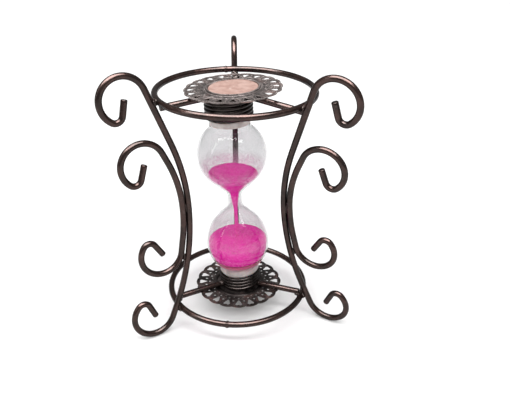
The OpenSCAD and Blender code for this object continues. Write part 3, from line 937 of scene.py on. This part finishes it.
def make_vial():
    outer = vial_outline(0, NECK_R)
    inner = vial_outline(GLASS_WALL, NECK_R - GLASS_WALL)
    pile = Pile()
    pile.lathe(list(reversed(inner)) + outer, 144, close=True)
    glass = finished(pile.made("blown_vial", "glass", LEANING), "vial", "vial_glass", "glass_vial")
    glass.visible_shadow = False
    glass.visible_diffuse = False

    # the milky ends reach the surface of the glass, so they are drawn just over it
    skin = vial_outline(-0.03, NECK_R)
    for name, low, high in (("bottom", VIAL_BOTTOM_Z, BOTTOM_PLUG_Z),
                            ("top", TOP_PLUG_Z, VIAL_TOP_Z)):
        rows = rows_along(skin, low, high, 48)
        if name == "bottom":
            rows += [(rows[-1][0] - 0.7, high + 0.3), (rows[-1][0] - 1.2, high + 0.9)]
        else:
            rows = [(rows[0][0] - 1.2, low - 0.5), (rows[0][0] - 0.6, low - 0.2)] + rows
        pile = Pile()
        pile.lathe([(0, rows[0][1])] + rows + [(0, rows[-1][1])], 96)
        finished(pile.made(f"{name}_stopper", "plug", LEANING), "vial", "frosted_plug",
                 f"{name}_plug")


def sand_body(name, span, node, surface, slope=0.0):
    """Sand between two heights, topped by surface(share of radius) and sloping to one side."""
    low, high = span
    rows = rows_along(vial_outline(SAND_INSET, SAND_THROAT_R), low, high, 60)
    edge, n = rows[-1][0], 26
    top = [(edge * (1 - k / n), high + surface(1 - k / n)) for k in range(1, n)]
    top.append((0, high + surface(0)))
    rough_depth = 3.5

    def grainy(p, r, a):
        lift = 0.16 * noise.noise(p * 2.3) + 0.34 * noise.noise(p * 0.45)
        if r < 0.05 + edge and p.z > high - rough_depth:
            p.z += lift - slope * p.x / edge * (1 if p.z > high - 0.01 else 0)
        return p

    pile = Pile()
    pile.lathe([(0, low)] + rows + top, 120, shift=grainy)
    finished(pile.made(name, "sand", LEANING), "vial", "pink_sand", node)


def make_sand():
    # a dip where the upper sand runs out, and a heap where it lands
    sand_body("draining_sand", UPPER_SAND_Z, "upper_sand",
              lambda t: -2.2 * max(0.0, 1 - t * 1.1), slope=0.8)
    sand_body("gathered_sand", LOWER_SAND_Z, "lower_sand",
              lambda t: 1.8 * max(0.0, 1 - t) + 0.3 * (1 - t * t))

    # a thin stream that spreads at its foot and fills the throat above
    pile = Pile()
    rows, n = [], 59
    low, high = STREAM_Z
    for k in range(n + 1):
        z = low + (high - low) * k / n
        foot = max(0.0, (29.5 - z) / 2)
        fill = max(0.0, (z - 44.5) / 8.1)
        rows.append((min(0.9 + 0.5 * foot ** 2, 1.05 + 0.8 * foot) + fill, z))

    def ragged(p, r, a):
        swell = 1 + 0.22 * noise.noise(Vector((math.cos(a), math.sin(a), p.z * 0.9)) * 1.6)
        return Vector((p.x * swell, p.y * swell, p.z))

    pile.lathe([(0, rows[0][1])] + rows + [(0, rows[-1][1])], 24, shift=ragged)
    finished(pile.made("falling_sand", "sand", LEANING), "vial", "pink_sand", "sand_stream")


def make_dust():
    film_gap, throat_r = 0.08, 2.9
    inside = [p for p in vial_outline(GLASS_WALL + film_gap, throat_r)
              if LOW_TUBE_Z < p[1] < HIGH_TUBE_Z]
    pile = Pile()
    pile.lathe(inside, 120)
    # the film is a look only, so it takes no CAD node's place
    film = finished(pile.made("dust_film", "dust", LEANING), "vial", "pink_sand")
    film.visible_shadow = False
    film.visible_diffuse = False


# ---- floor and light ----

def make_stage():
    floor_half = 6
    bm = bmesh.new()
    bmesh.ops.create_grid(bm, x_segments=1, y_segments=1, size=floor_half)
    mesh = bpy.data.meshes.new("floor")
    bm.to_mesh(mesh)
    bm.free()
    mesh.materials.append(MATERIALS["floor"])
    floor = bpy.data.objects.new("floor", mesh)
    scene.collection.objects.link(floor)

    world = bpy.data.worlds.new("studio")
    world.use_nodes = True
    background = world.node_tree.nodes["Background"]
    background.inputs["Color"].default_value = (1, 1, 1, 1)
    background.inputs["Strength"].default_value = 0.38
    scene.world = world

    data = bpy.data.lights.new("daylight", "SUN")
    data.energy = 3.0
    data.angle = math.radians(140)
    sun = bpy.data.objects.new("daylight", data)
    sun.rotation_euler = (math.radians(30), 0, math.radians(-10))
    sun.visible_glossy = False
    scene.collection.objects.link(sun)

    # a thin strip above the front, a small softbox for the left edges, and a wide one that
    # only the lacquered wires see, for the broad pale streaks along their upper sides
    target = Vector((0, 0, 0.06))
    for name, place, width, height, power in (
            ("strip", (-0.04, -0.27, 0.92), 1.3, 0.18, 5.5),
            ("edge", (-0.62, -0.25, 0.42), 0.10, 0.50, 0.7),
            ("wide", (-0.10, -0.20, 0.95), 1.2, 0.85, 54)):
        data = bpy.data.lights.new(name, "AREA")
        data.shape = "RECTANGLE"
        data.size, data.size_y = width, height
        data.energy = power
        light = bpy.data.objects.new(name, data)
        light.location = place
        light.rotation_euler = (target - Vector(place)).to_track_quat("-Z", "Y").to_euler()
        scene.collection.objects.link(light)
        if name == "wide":
            light.light_linking.receiver_collection = GLOSSY


make_scrolls()
make_rings()
make_spokes()
make_coils()
make_caps()
make_medallion()
make_collar()
make_welds()
make_vial()
make_sand()
make_dust()
make_stage()

scene.view_settings.view_transform = "Standard"
